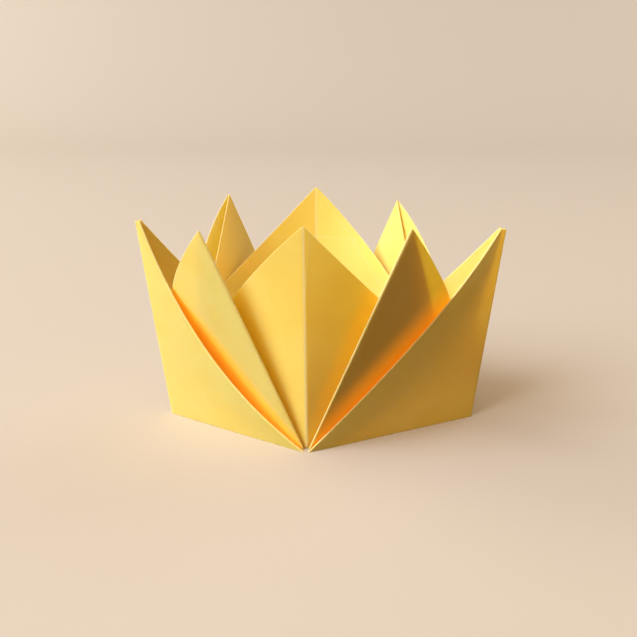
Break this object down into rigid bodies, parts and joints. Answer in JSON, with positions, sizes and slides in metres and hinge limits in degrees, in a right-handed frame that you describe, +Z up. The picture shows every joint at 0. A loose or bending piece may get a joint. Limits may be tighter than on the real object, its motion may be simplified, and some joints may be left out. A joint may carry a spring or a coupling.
{
  "type": "folded paper crown",
  "caption": "Small folded paper crown: an open ring of pleated, pointed petals in thin yellow paper that stands on its lower edge.",
  "frame": {"origin": "middle of the crown's footprint, on the surface it stands on", "axes": "+Z up; +X to the right side point; -Y to the front kite that faces the camera"},
  "size_m": [0.0858, 0.0678, 0.0509],
  "materials": {
    "paper": "matte"
  },
  "bodies": {
    "root": {"folded_crown": "paper"}
  },
  "joints": []
}
